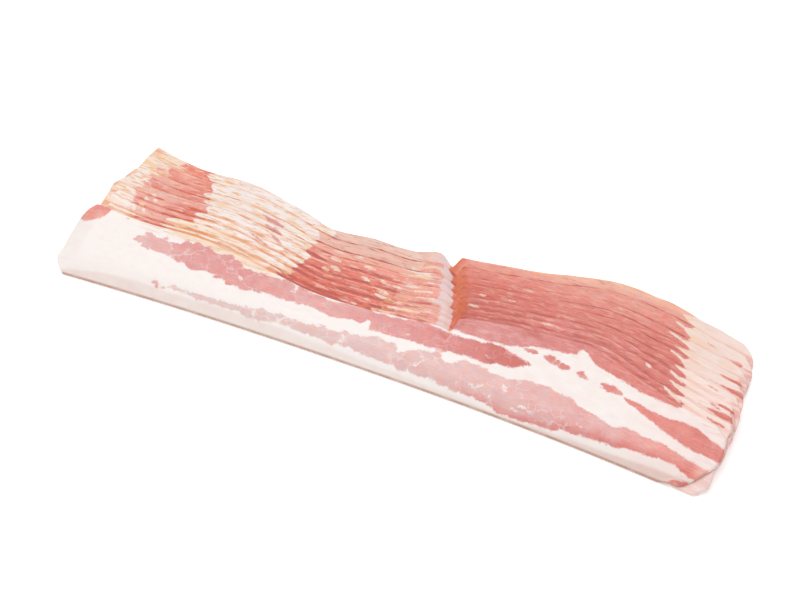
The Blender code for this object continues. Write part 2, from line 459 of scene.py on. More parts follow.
# Where the lean lies on the top slice. These outlines are pixels of the photo, picked and then moved a
# little.
UPPER_STREAK = (
    (129, 238), (143, 234), (163, 236), (178, 243), (189, 241), (208, 246), (219, 253), (231, 254),
    (242, 263), (246, 269), (262, 271), (271, 277), (287, 279), (311, 292), (333, 301), (358, 306),
    (384, 314), (403, 319), (422, 320), (438, 327.4), (456.5, 334.4), (480.5, 341.7), (500, 345),
    (516, 354), (532, 365), (532, 366.4), (512, 368), (481, 362), (457, 354), (433, 349), (409, 341),
    (386, 335), (368, 330), (371, 320), (360, 323), (354, 321), (330, 317), (306, 306), (281, 300),
    (264, 294), (257, 293), (239, 289), (226, 284), (219, 278), (206, 273), (189, 268), (173, 259),
    (159, 254), (148, 250), (133, 241),
)
LOWER_STREAK = (
    (163.2, 286.9), (171.2, 284.6), (189, 291.7), (219, 299.5), (247, 306), (277, 313), (306, 322),
    (330, 328), (354, 334), (378, 336), (394, 343), (398, 351), (417, 349), (438, 352), (446, 362),
    (465, 359), (484, 367), (500, 377), (523, 379), (549, 386), (569, 398), (588, 411), (604, 421),
    (613, 427), (627, 427), (645, 437), (663, 443), (684, 457), (710.9, 471.8), (697.5, 482),
    (688, 478.2), (674.7, 466), (661, 460.5), (645, 455.9), (627, 448.9), (613, 448.5), (595, 439.7),
    (581, 438.4), (562, 430), (549, 432), (535, 427), (516, 421), (500, 414), (473, 399), (454, 392),
    (435, 384), (416, 374.5), (397, 368), (382, 363.4), (365, 357.5), (352.2, 349.8), (330, 344.4),
    (314, 338.6), (295, 329.8), (276, 324.6), (252, 320), (244, 316), (219, 306.5), (198, 299.5),
    (176.3, 290.5),
)
LOIN = (
    (462.5, 284), (445.5, 325.8), (453.4, 329.2), (465.5, 333.9), (488.6, 341), (512, 347), (535, 347),
    (558, 352), (576, 355), (582, 350), (588, 354), (595, 365), (615, 377), (638, 391), (661, 402),
    (681.5, 409), (702, 373),
)
RIGHT_STREAK = (
    (623.4, 396), (638, 402), (652, 410.8), (668, 418), (681.5, 421), (696, 427), (708, 437),
    (728.4, 452.5), (721.2, 464.7), (696, 453), (679, 443), (661, 430), (638, 411), (623.6, 398.9),
)
# The band of painted shade along the front edge of the top slice reaches back to this line, in pixels
# too.
BAND_LINE = (
    (55.6, 267.3), (106, 273), (140, 281.6), (173, 293.4), (220, 306.4), (300, 335.4), (400, 375),
    (500, 415), (600, 450), (660, 470.4), (703.3, 487.2),
)
# These were set against the drooping left end and the lifted toe: (x, depth) in millimetres.
CORNER_LEAN = (
    (-134.0, 23.0), (-130.0, 27.0), (-125.0, 31.0), (-118.0, 31.0), (-118.8, 27.6), (-119.8, 25.4),
    (-121.0, 23.4), (-122.9, 21.9), (-125.0, 21.0), (-127.4, 20.8), (-130.0, 21.3),
)
TOE_LEAN = ((121.5, 0.2), (122.8, 1.3), (126.0, 2.3), (129.6, 3.2), (129.6, 1.9), (125.0, 0.1))
# Small bits: (x, depth, x, depth, half width).
TOP_BITS = (
    (-107.0, 18.7, -104.5, 19.9, 0.8), (-90.3, 4.6, -87.2, 4.9, 1.25), (56.5, 24.2, 61.5, 24.4, 1.0),
    (64.0, 24.2, 73.8, 22.9, 1.6), (77.4, 22.8, 82.0, 22.1, 1.5), (87.6, 22.1, 95.4, 21.4, 1.5),
    (-112.5, 25.2, -110.0, 25.0, 0.5),
)
# Pale cracks in the top slice's lean, in the same way, and how deep they cut into it.
TOP_CRACKS = (
    (-46.8, 4.9, -44.9, 7.2, 0.12), (-35.9, 5.0, -35.2, 7.8, 0.12), (41.3, 4.6, 45.0, 6.2, 0.12),
    (46.5, 6.5, 50.0, 4.6, 0.12), (53.6, 11.6, 55.4, 7.4, 0.12), (12.0, 14.0, 13.6, 19.0, 0.14),
    (-58.6, 20.6, -57.4, 15.6, 0.15), (-34.0, 20.0, -36.0, 16.5, 0.1), (85.0, 6.0, 89.0, 8.6, 0.15),
    (60.0, 3.4, 66.0, 5.0, 0.15), (20.0, 6.0, 22.4, 9.8, 0.16), (-10.4, 4.2, -9.4, 8.4, 0.1),
    (39.5, 18.6, 46.0, 16.4, 0.05),
)
CRACK_FLOOR = 0.55

# Lower slices: each slice's lean stretches, lowest first, as x in millimetres.
LEFT_LEAN = (
    (-114.0, -97.0), (-118.0, -94.5), (-119.5, -91.5), (-119.0, -89.0), (-119.5, -87.5),
    (-119.0, -86.5), (-118.0, -88.5), (-115.0, -94.5), (-112.0, -98.0),
)
MIDDLE_LEAN = (
    (-39.0, 3.0), (-43.0, -1.0), (-42.5, -3.0), (-42.5, -4.0), (-40.5, -5.0), (-41.0, -4.0),
    (-42.5, -2.0), (-42.0, -1.0), (-45.0, -2.0),
)
LOIN_RIGHT = (108.5, 108.5, 110.0, 111.5, 112.0, 113.5, 114.0, 115.0, 116.0)
# Bits on the lower slices: (slice, x, distance from the back, x, distance, half width).
LEAN_BITS = (
    (2, -66.5, 2.2, -56.5, 3.2, 1.1), (3, -62.5, 2.4, -54.5, 3.4, 1.0),
    (4, -57.5, 1.8, -52.0, 3.2, 0.8), (4, -67.0, 1.2, -58.0, 1.6, 0.25),
    (5, -66.0, 0.6, -54.5, 2.6, 0.35), (8, -49.5, 0.6, -36.0, 2.4, 0.45),
    (1, 116.5, 4.0, 121.5, 4.3, 0.35), (5, 123.0, 1.6, 127.5, 1.9, 0.3),
    (7, 126.0, 0.8, 130.5, 1.5, 0.5), (6, 129.0, 2.6, 135.5, 3.0, 0.8),
    (8, 127.0, 2.4, 133.5, 2.6, 0.5),
)
FAT_BITS = (
    (4, -32.0, 3.0, -29.5, 3.3, 0.7), (4, -29.0, 1.4, -25.0, 2.0, 0.55),
    (3, -31.0, 1.2, -27.0, 1.8, 0.5), (2, -32.0, 1.0, -27.0, 1.4, 0.35),
    (2, -23.0, 1.0, -20.5, 1.3, 0.45), (4, -15.5, 2.4, -12.5, 3.0, 0.6),
    (3, -17.0, 1.4, -12.5, 1.8, 0.45), (4, -8.0, 1.6, -3.5, 2.2, 0.6), (5, -8.0, 1.2, -3.0, 1.8, 0.65),
    (6, -6.5, 0.8, -3.0, 1.4, 0.6), (6, -2.0, 2.0, 2.0, 2.6, 0.8), (7, -9.0, 1.2, -7.0, 1.4, 0.45),
    (8, -4.5, 1.0, 4.5, 1.8, 0.8), (8, -13.0, 0.8, -11.0, 1.0, 0.4), (3, 30.0, 3.2, 32.5, 3.5, 0.3),
    (4, 30.5, 2.2, 32.5, 2.5, 0.3), (6, 29.0, 1.2, 33.5, 1.6, 0.3), (2, 44.0, 1.6, 47.5, 2.2, 0.2),
    (4, 41.5, 2.2, 44.5, 2.4, 0.15), (7, 58.0, 1.0, 62.5, 1.3, 0.25), (5, 61.5, 1.4, 62.5, 1.6, 0.25),
    (2, 80.5, 1.4, 84.0, 1.8, 0.2), (7, 99.5, 0.8, 101.5, 1.0, 0.3), (1, 103.0, 2.0, 109.0, 3.2, 0.5),
    (2, 102.5, 1.4, 110.0, 2.6, 0.55), (4, 106.0, 1.4, 113.0, 2.4, 0.5),
    (6, 108.5, 1.0, 114.0, 2.2, 0.5), (7, 110.0, 1.2, 115.0, 2.2, 0.45),
    (8, 109.0, 1.0, 116.0, 2.6, 0.5), (5, 110.0, 1.4, 114.0, 2.2, 0.4),
    (3, 106.0, 1.6, 111.5, 2.6, 0.35), (0, -100.0, 1.6, -96.0, 2.0, 0.5),
    (7, -113.8, 2.0, -112.8, 2.3, 0.5), (6, -111.8, 2.2, -110.8, 2.5, 0.55),
    (4, -113.5, 2.3, -112.5, 2.8, 0.5), (5, -112.5, 1.5, -111.5, 2.1, 0.45),
    (5, -108.0, 1.4, -107.2, 1.8, 0.5), (1, -117.2, 2.8, -116.4, 3.4, 0.5),
    (7, -109.2, 1.0, -108.4, 1.4, 0.35), (4, -111.0, 3.6, -110.2, 4.0, 0.4),
    (8, -112.0, 0.9, -111.0, 1.3, 0.4),
)


def outline_field(u, v, outline):
    """Signed distance from a closed outline, above 0 inside it."""
    points = np.array(outline)
    best = np.full(u.shape, 1e9)
    inside = np.zeros(u.shape, bool)
    for (ax, ay), (bx, by) in zip(points, np.roll(points, -1, axis=0)):
        share = ((u - ax) * (bx - ax) + (v - ay) * (by - ay)) / ((bx - ax) ** 2 + (by - ay) ** 2)
        share = np.clip(share, 0.0, 1.0)
        best = np.minimum(best, np.hypot(u - ax - share * (bx - ax), v - ay - share * (by - ay)))
        if ay != by:
            crosses = ((ay > v) != (by > v)) & (u < (bx - ax) * (v - ay) / (by - ay) + ax)
            inside ^= crosses
    return np.where(inside, best, -best)


def bit_field(u, v, bit):
    """Signed distance from a small round-ended bit."""
    ax, ay, bx, by, half = bit
    length = (bx - ax) ** 2 + (by - ay) ** 2
    share = np.clip(((u - ax) * (bx - ax) + (v - ay) * (by - ay)) / length, 0.0, 1.0)
    taper = half * (1.0 - 0.5 * np.abs(2 * share - 1) ** 2)
    return taper - np.hypot(u - ax - share * (bx - ax), v - ay - share * (by - ay))


# How red and how warm the lean is: by x in millimetres on the top slice, or by slice, lowest first.
UPPER_TONE = (
    (-110, 0.30), (-98, 0.42), (-85, 0.57), (-64, 0.63), (-47, 0.60), (-30, 0.52), (-10, 0.58),
    (0, 0.62), (12, 0.65), (22, 0.74), (33, 0.82), (44, 0.93), (52, 1.15),
)
LOWER_TONE = (
    (-90, 0.12), (-40, 0.23), (0, 0.29), (50, 0.37), (80, 0.48), (100, 0.55), (130, 0.66),
)
MIDDLE_TONE = ((0, 0.20), (1, 0.33), (2, 0.47), (3, 0.72), (4, 0.92), (8, 1.02))
LOIN_TONE = ((0, 0.45), (1, 0.62), (3, 0.79), (8, 0.90))
PLAIN_TONE = 0.62
MIDDLE_WARMTH = ((0, 0.45), (1, 0.50), (2, 0.62), (8, 0.86))
LOIN_WARMTH = ((0, 0.56), (3, 0.42), (8, 0.34))
PLAIN_WARMTH = 0.36
# How creamy the fat is: clean; in the front band by x, where it is painted shade, greyer; at the notch;
# and at the right end.
CLEAN_FAT = 0.25
SHADED_FAT = ((-130, 0.15), (0, 0.19), (60, 0.12), (110, 0.06))
LILAC_FAT = 0.02
RIGHT_FAT = 0.36
# The slices whose right end shows a wedge of lean, and the one with a yellow spot: (x, from back).
END_MARKS = (1, 3, 4, 7)
SPOT_SLICE = 7
SPOT = (132.3, 3.0)
# Places in millimetres: how near an outline a look reaches, and stretches along the stack.
NEAR = -1.5
PINK_BITS = (-75, -50)
LEFT_UNTIL = -80
BY_NOTCH = 9
RIGHT_FROM = 100
# The top slice gets no painted shadow line by a next slice.
NO_CREASE = 99.0
# Some looks carry painted light: a brown painted contact shade along the top slice's front bottom rim,
# a painted shadow line where the next slice covers a lower one, and the strength of a painted highlight
# near back edges.
FIELDS = ("lean", "tone", "warm", "seam", "fat", "smoke", "line", "fleck_and_highlight", "under", "back", "crease")


def pick(value, *choices):
    """A value, replaced in turn by that of each (mask, value) choice where its mask holds."""
    for mask, other in choices:
        value = np.where(mask, other, value)
    return value


def top_tone(x, depth, back, part):
    """How red the top slice's lean is."""
    redder = smooth_step(3.2, 0.6, part["lower"]) * smooth_step(20, 60, x) * smooth_step(9, 5, depth)
    low_tone = along(LOWER_TONE, x) + 0.22 * redder - 0.45 * smooth_step(127, 133, x)
    tone = pick(
        along(UPPER_TONE, x),
        (part["lower"] > NEAR, low_tone),
        (part["in_loin"], 0.76 + 0.10 * smooth_step(40, 90, x)),
    )
    patch = np.exp(-((x - 57.0) / 5.0) ** 2 - ((depth - 30.5) / 1.6) ** 2)
    tone = tone + 0.28 * patch * (part["loin"] > 0)
    right_bits = (x > 50) & (depth > 20.3) & (part["loin"] < -1.0)
    return pick(
        tone,
        ((part["right"] > NEAR) | right_bits, 0.80),
        (part["corner"] > NEAR, 0.52 + 0.22 * smooth_step(4.0, 0.0, back)),
        (part["toe"] > NEAR, 0.8),
    )


def top_warmth(x, part):
    """How warm the hue of the top slice's lean is."""
    right_end = 0.25 * smooth_step(90, 120, x) + 0.15 * smooth_step(124, 133, x)
    return pick(
        0.12 + 0.25 * smooth_step(50, 110, x) + 0.3 * (part["corner"] > NEAR),
        (part["in_loin"], 0.05 + 0.25 * smooth_step(50, 100, x)),
        (part["lower"] > NEAR, 0.12 + right_end),
    )


def top_fat(x, depth, back):
    """How creamy the top slice's fat is: painted shade in the front band, buttery along the back."""
    fat = CLEAN_FAT - 0.03 * smooth_step(20, 60, x)
    line_x, line_depth = on_top_slice(BAND_LINE).T
    band = np.interp(x, line_x, line_depth)
    # Painted shade: in front of the band line the fat takes the greyer shaded tones.
    fat = fat + (along(SHADED_FAT, x) - fat) * smooth_step(0.5, -0.7, depth - band)
    fat = fat + 0.42 * smooth_step(4.4, 0.4, back) * hump(x, -96, -86, -52, -40)
    return fat + 0.25 * smooth_step(2.0, 0.2, back) * smooth_step(112, 120, x)


def top_fields(x, depth, back):
    """The looks of the top slice, on points in millimetres, in the order of FIELDS."""
    part = {
        "upper": outline_field(x, depth, on_top_slice(UPPER_STREAK)),
        "lower": outline_field(x, depth, on_top_slice(LOWER_STREAK)),
        "loin": outline_field(x, depth, on_top_slice(LOIN)),
        "right": outline_field(x, depth, on_top_slice(RIGHT_STREAK)),
        "corner": outline_field(x, depth, CORNER_LEAN),
        "toe": outline_field(x, depth, TOE_LEAN),
    }
    lean = np.max(list(part.values()) + [part["lower"] + 0.4 * smooth_step(-50, -70, x)], axis=0)
    for bit in TOP_BITS:
        lean = np.maximum(lean, bit_field(x, depth, bit))
    for crack in TOP_CRACKS:
        lean = np.minimum(lean, np.maximum(-0.8 * bit_field(x, depth, crack), CRACK_FLOOR))
    in_loin = (part["loin"] > NEAR) & (part["loin"] > part["upper"])
    part["in_loin"] = in_loin
    in_upper = part["upper"] > -2.0
    seam = 1.0 + 0.6 * smooth_step(-75, -95, x) - 0.45 * smooth_step(-35, -15, x) * in_upper
    seam = pick(seam, (in_loin | (part["corner"] > NEAR) | (x > 88), 0.35))
    past_notch = x - mix(NOTCH_AT, 0.0) * 1000
    smoke = 0.5 * smooth_step(1.0, 0.1, back) * hump(x, -70, -58, -48, -42)
    at_notch = smooth_step(2.4, 0.6, np.abs(past_notch - 0.8)) * smooth_step(2.2, 0.8, back)
    smoke = np.maximum(smoke, 0.85 * at_notch)
    # Along the front bottom rim: painted contact shade, in the brown of the smoked rind.
    under = 0.8 * smooth_step(0.30, 0.08, depth)
    rim_line = 0.9 * smooth_step(4.4, 2.0, back) * hump(x, -110, -95, -50, -30)
    fleck_and_highlight = 0.65 * rim_line + 0.2 * in_loin
    line = rim_line + 0.25 * in_loin + 0.08 + 0.6 * smooth_step(118, 124, x)
    tone, warm = top_tone(x, depth, back, part), top_warmth(x, part)
    fat, crease = top_fat(x, depth, back), np.full(x.shape, NO_CREASE)
    return lean, tone, warm, seam, fat, smoke, line, fleck_and_highlight, under, back, crease


def stretches(index, x, notch):
    """Masks of a lower slice's stretches along the stack."""
    middle_end = MIDDLE_LEAN[index][1] + 4
    return {
        "left": x < LEFT_UNTIL,
        "pink": (x > PINK_BITS[0]) & (x < PINK_BITS[1]),
        "middle": (x > PINK_BITS[1]) & (x < middle_end),
        "stripes": (x >= middle_end) & (x < notch),
        "by_notch": (x > notch - BY_NOTCH) & (x < notch),
        "loin": x >= notch,
        "right": x > RIGHT_FROM,
    }


def lower_lean(index, x, band, back, centre, notch):
    """Where a lower slice is lean, above 0 there; centre is 1 in the middle of its band."""
    wander = 1.2 * noise(back / 1.2, x / 30.0 + 7 * index, 31 + index)
    tongue = 4.0 + 2.0 * math.sin(2.7 * index + 1.0)
    left_a, left_b = LEFT_LEAN[index]
    mid_a, mid_b = MIDDLE_LEAN[index]
    xw = x + wander
    left = np.minimum(0.24 * (xw - left_a + 0.6), left_b + 2.0 - tongue * centre - xw)
    middle = np.minimum(xw - mid_a - 1.6 * centre, mid_b - xw) * 0.8
    loin = np.minimum(x - notch + 0.7, LOIN_RIGHT[index] + 1.0 - 0.95 * tongue * centre ** 3 - xw)
    stripes = np.minimum(xw - mid_b + 3.0, notch - 6.0 - xw)
    ribbon = 0.9 * noise(x / 7.0 + 3.1 * index, back / 0.8, 57 + index) + 0.25
    lean = np.max([left, middle, loin, np.minimum(stripes, ribbon)], axis=0)
    lean = np.clip(lean, -3.0, 3.0)
    for bit in LEAN_BITS:
        if bit[0] == index:
            lean = np.maximum(lean, bit_field(x, back, bit[1:]))
    if index in END_MARKS:
        reach = 131.0 if index == 1 else 140.0
        wedge = 1.1 * smooth_step(123, 133, x) - np.abs(band - back - 1.9)
        wedge = wedge - 3 * smooth_step(reach, reach + 3, x)
        lean = np.maximum(lean, np.where(x > 122, wedge, -3.0))
    for bit in FAT_BITS:
        if bit[0] == index:
            soft = -0.05 if bit[1] < 102 else -3.0
            lean = np.minimum(lean, np.maximum(-bit_field(x, back, bit[1:]), soft))
    return lean


def lower_tone(index, x, back, centre, part):
    """How red a lower slice's lean is."""
    uneven = 0.06 * math.sin(2.6 * index + 0.6) + 0.12 * noise(x / 9.0 + 3 * index, back / 2.5, 83)
    uneven = uneven + max(0.0, 0.10 - 0.04 * index)
    loin = along(LOIN_TONE, index) + 0.16 * smooth_step(70, 30, x) + 0.07 * smooth_step(85, 105, x)
    tone = pick(
        PLAIN_TONE,
        (part["left"], 0.56 + uneven + 0.14 * smooth_step(-103, -93, x)),
        (part["middle"], along(MIDDLE_TONE, index)),
        (part["loin"], loin),
    )
    # The lean is paler in the middle of each visible band: painted light across the strip.
    return tone - 0.09 * centre


def lower_warmth(index, part):
    """How warm the hue of a lower slice's lean is."""
    return pick(
        PLAIN_WARMTH,
        (part["left"], 0.46 + max(0.0, 0.24 - 0.08 * index)),
        (part["loin"], along(LOIN_WARMTH, index)),
        (part["middle"], along(MIDDLE_WARMTH, index)),
        (part["stripes"], 0.55),
        (part["pink"], 0.0),
    )


def lower_fat(index, x, band, back, part, rim):
    """How creamy a lower slice's fat is; rim is its uneven back rim."""
    dashes = smooth_step(0.1, 0.7, noise(x / 7.0 + 2 * index, back / 1.0 + index, 91))
    middle = part["middle"] & (x > MIDDLE_LEAN[index][0] + 2)
    fat = CLEAN_FAT + 0.03 + 0.30 * rim + 0.32 * dashes
    fat = fat + (0.16 if index <= 1 else 0.05) * smooth_step(-98, -108, x)
    fat = fat + (0.16 if index >= 7 else 0.0) * hump(x, -100, -90, -60, -50)
    fat = pick(
        fat,
        (middle | part["stripes"], 0.45 + 0.25 * dashes),
        (part["by_notch"], LILAC_FAT + 0.1 * dashes),
        (part["loin"], 0.50),
        (part["right"], RIGHT_FAT + 0.14 * dashes + 0.07 * smooth_step(124, 114, x)),
        (part["right"] & (back > band + 3.0), CLEAN_FAT - 0.04),
    )
    if index == SPOT_SLICE:
        fat = fat + 0.5 * np.exp(-((x - SPOT[0]) / 1.3) ** 2 - ((back - SPOT[1]) / 0.6) ** 2)
    return fat


def lower_lines(index, x, part, notch):
    """How strong the brown lines, and the pale dashes and painted highlight, of a lower slice are."""
    at_end = smooth_step(131, 134, x) * (index < SLICES - 2)
    line = pick(
        1.0,
        (x > 108, 0.45 + 0.5 * at_end),
        (part["left"], 1.3 - 0.5 * smooth_step(-108, -116, x)),
        (part["middle"], 1.35),
    )
    line = line * np.where(part["by_notch"], 0.35, 1.0)
    fleck_and_highlight = pick(
        0.58,
        (part["loin"], 0.38 * smooth_step(notch + 3, notch + 7, x)),
        (x > 118, 0.3),
        (part["by_notch"], 0.1),
        (part["left"], 0.85),
    )
    return line, fleck_and_highlight


def lower_fields(index, x, band, back):
    """The looks of a lower slice, which shows only a band along its back edge."""
    notch = notch_place(index)[0] * 1000
    across = np.clip(back / np.maximum(band - HIDDEN, 0.5), 0.0, 1.0)
    centre = 1.0 - (2.0 * across - 1.0) ** 2
    part = stretches(index, x, notch)
    lean = lower_lean(index, x, band, back, centre, notch)
    tone = lower_tone(index, x, back, centre, part)
    warm = lower_warmth(index, part)
    seam = np.where(part["left"], 0.3 + 0.8 * smooth_step(-104, -111, x), 0.2)
    gate = smooth_step(-0.35, 0.5, noise(x / 8.0 + 5 * index, back * 0 + index, 71))
    rim = smooth_step(1.1, 0.1, back)
    smoke = 0.25 * rim * gate * (x < notch)
    smoke = np.maximum(smoke, 0.95 * hump(x - notch, -1.0, 0.2, 1.2, 5.0))
    if index == 0:
        width = np.interp(x, (notch + 3, 60), (0.6, 3.4))
        pale = smooth_step(width, 0.4 * width, back) * smooth_step(notch + 1, notch + 4, x)
        tone = tone - 0.14 * pale
        warm = warm + 0.30 * pale
        corner = smooth_step(-121.5, -126, x) * smooth_step(5.0, 1.5, back)
        smoke = np.maximum(smoke, 0.85 * corner)
    fat = lower_fat(index, x, band, back, part, rim * gate)
    fat = np.where(x < -112, fat - 0.10 * rim, fat)
    line, fleck_and_highlight = lower_lines(index, x, part, notch)
    # The last look places the painted shadow line by the next slice's back edge.
    return lean, tone, warm, seam, fat, smoke, line, fleck_and_highlight, 0 * x, back, band - back


def build_mesh(name, points, attributes):
    """A closed slab from the grids of its upper and lower points, which meet along the outline."""
    upper, lower = points
    columns, rows = upper.shape[:2]
    top = np.arange(columns * rows).reshape(columns, rows)
    under = top.copy()
    inner = np.arange((columns - 2) * (rows - 2)).reshape(columns - 2, rows - 2)
    under[1:-1, 1:-1] = inner + columns * rows
    quads = [top[:-1, :-1], top[1:, :-1], top[1:, 1:], top[:-1, 1:]]
    back = [under[:-1, 1:], under[1:, 1:], under[1:, :-1], under[:-1, :-1]]
    faces = np.concatenate([np.stack(quads, -1).reshape(-1, 4), np.stack(back, -1).reshape(-1, 4)])
    places = np.concatenate([upper.reshape(-1, 3), lower[1:-1, 1:-1].reshape(-1, 3)])
    mesh = bpy.data.meshes.new(name)
    mesh.vertices.add(len(places))
    mesh.vertices.foreach_set("co", places.astype(np.float32).ravel())
    mesh.loops.add(faces.size)
    mesh.loops.foreach_set("vertex_index", faces.astype(np.int32).ravel())
    mesh.polygons.add(len(faces))
    mesh.polygons.foreach_set("loop_start", np.arange(0, faces.size, 4, dtype=np.int32))
    mesh.update(calc_edges=True)
    mesh.polygons.foreach_set("use_smooth", np.ones(len(faces), bool))
    for label, values in attributes.items():
        vector = values.ndim == 3
        shape = (-1, 3) if vector else (-1,)
        both = [values.reshape(shape), values[1:-1, 1:-1].reshape(shape)]
        attribute = mesh.attributes.new(label, "FLOAT_VECTOR" if vector else "FLOAT", "POINT")
        flat = np.concatenate(both).astype(np.float32).ravel()
        attribute.data.foreach_set("vector" if vector else "value", flat)
    mesh.validate()
    return mesh


def band_width(index, x):
    """How far a slice's back edge lies behind the next one's, along the stack."""
    lines = []
    for number in (index, index + 1):
        columns = column_places(number)
        lines.append(np.interp(x, [column[0] for column in columns], [column[1] for column in columns]))
    return lines[0] - lines[1]


def slice_height(index, x, y, depth, back, inward):
    """Z of a slice's underside, with soft waves, a lifted left tip and a dip along the notch."""
    notch, notch_step = notch_place(index)
    z = underside(index, x, depth)
    waves = WAVES * noise(x / WAVE_LENGTHS[0], y / WAVE_LENGTHS[1], 17 + index)
    waves = waves + RIPPLES * noise(x / RIPPLE_LENGTHS[0], y / RIPPLE_LENGTHS[1], 41)
    z = z + waves * smooth_step(0.0, FLAT_RIM, inward)
    if index == SLICES - 1:
        hang = smooth_step(*DROOP_X, x) * smooth_step(*DROOP_DEPTH, depth)
        z = z - np.minimum(DROOP, DROOP_SHARE * z) * hang
    tips = smooth_step(*TIP_X, x) * smooth_step(TIP_DEPTH, 0.0, back)
    z = z + TIP_LIFT * tips * (0.6 + 0.4 * math.sin(1.9 * index))
    right = smooth_step(NOTCH_DIP_RIGHT, 0.0, x - notch - notch_step) * (x > notch)
    left = smooth_step(NOTCH_DIP_LEFT, 0.0, notch - x) * (x <= notch)
    z = z - NOTCH_DIP * np.maximum(right, left) * smooth_step(*NOTCH_DIP_BACK, back)
    return np.maximum(z, 0.0)


def slice_looks(index, x, depth, back, inward):
    """What the material reads on each point: FIELDS, fainter on the cut ends, and the grain."""
    if index == SLICES - 1:
        fields = top_fields(x * 1000, depth * 1000, back * 1000)
    else:
        band = band_width(index, x) * 1000
        fields = lower_fields(index, x * 1000, band, back * 1000)
    looks = dict(zip(FIELDS, fields))
    looks["back"] = np.where(x > 0.120, inward, back) * 1000
    face = smooth_step(0.0001, 0.0010, np.minimum(x - x[0], x[-1] - x))
    looks["fleck_and_highlight"] = looks["fleck_and_highlight"] * face
    looks["line"] = looks["line"] * np.where(x < 0, 0.35 + 0.65 * face, 0.7 + 0.3 * face)
    looks["grain"] = np.stack([x * 1000, depth * 1000, np.full(x.shape, 23.0 * index)], -1)
    return looks


def slice_mesh(index):
    """The mesh of one slice, kept inside the CAD model's box."""
    x, depth, back = slice_grid(index)
    inward = edge_distance(x, depth)
    ragged = RAGGED * noise(x / RAGGED_LENGTH + 11 * index, x * 0, 13) * (index < SLICES - 1)
    y = front_line(x) + depth + ragged * smooth_step(RAGGED_DEPTH, 0.0, back)
    z = slice_height(index, x, y, depth, back, inward) + 0.5 * THICKNESS
    fullness = 1.0 - (1.0 - np.clip(inward / RIM, 0.0, 1.0)) ** RIM_POWER
    half = 0.5 * THICKNESS * fullness ** (1 / RIM_POWER)
    place = np.stack([
        np.clip(x - MIDDLE[0], LOW[0], HIGH[0]),
        np.clip(y - MIDDLE[1], LOW[1], HIGH[1]),
        np.minimum(z, HIGH[2] - 0.5 * THICKNESS),
    ], -1)
    lift = np.stack([0 * half, 0 * half, half], -1)
    looks = slice_looks(index, x, depth, back, inward)
    return build_mesh(f"bacon_slice_{index:02d}", (place + lift, place - lift), looks)


# Colours, as they are seen in soft white light.
# Low on the fat ramp, from 0.06 to 0.12, lie the greyer tones of the painted shade in the front band.
FAT_RAMP = (
    (0.00, (0.83, 0.63, 0.67)), (0.06, (0.79, 0.63, 0.58)), (0.12, (0.85, 0.70, 0.65)),
    (0.25, (0.955, 0.875, 0.845)), (0.45, (0.94, 0.78, 0.69)), (0.70, (0.93, 0.69, 0.47)),
    (1.00, (0.88, 0.52, 0.22)),
)
LEAN_RAMP = (
    (0.00, (0.92, 0.69, 0.65)), (0.20, (0.89, 0.58, 0.55)), (0.45, (0.88, 0.44, 0.41)),
    (0.62, (0.84, 0.32, 0.30)), (0.80, (0.78, 0.23, 0.21)), (1.00, (0.68, 0.14, 0.11)),
)
SMOKE_RAMP = ((0.0, (0.90, 0.50, 0.28)), (0.5, (0.80, 0.25, 0.10)), (1.0, (0.66, 0.13, 0.06)))
COOL = (0.86, 1.0, 1.05, 1.0)
WARM = (1.14, 0.97, 0.68, 1.0)
LINE_ON_LEAN = (0.52, 0.11, 0.09, 1.0)
LINE_ON_LEFT_LEAN = (0.66, 0.13, 0.06, 1.0)
LINE_ON_FAT = (0.78, 0.31, 0.13, 1.0)
# Pale dashes on lean, also the painted highlight on lean.
DASH_AND_HIGHLIGHT_ON_LEAN = (0.93, 0.60, 0.48, 1.0)
# The painted highlight on fat.
PAINTED_HIGHLIGHT_ON_FAT = (0.97, 0.91, 0.87, 1.0)
DASH_ON_FAT = (0.88, 0.50, 0.23, 1.0)
# Painted contact shade and smoked rind along the top slice's front bottom rim.
SHADE_AND_SMOKE_BROWN = (0.44, 0.21, 0.12, 1.0)
RIGHT_TINT = (1.0, 0.94, 0.93, 1.0)
LINE_ON_RIGHT_FAT = (0.78, 0.36, 0.32, 1.0)
DASH_ON_RIGHT_FAT = (0.90, 0.60, 0.54, 1.0)


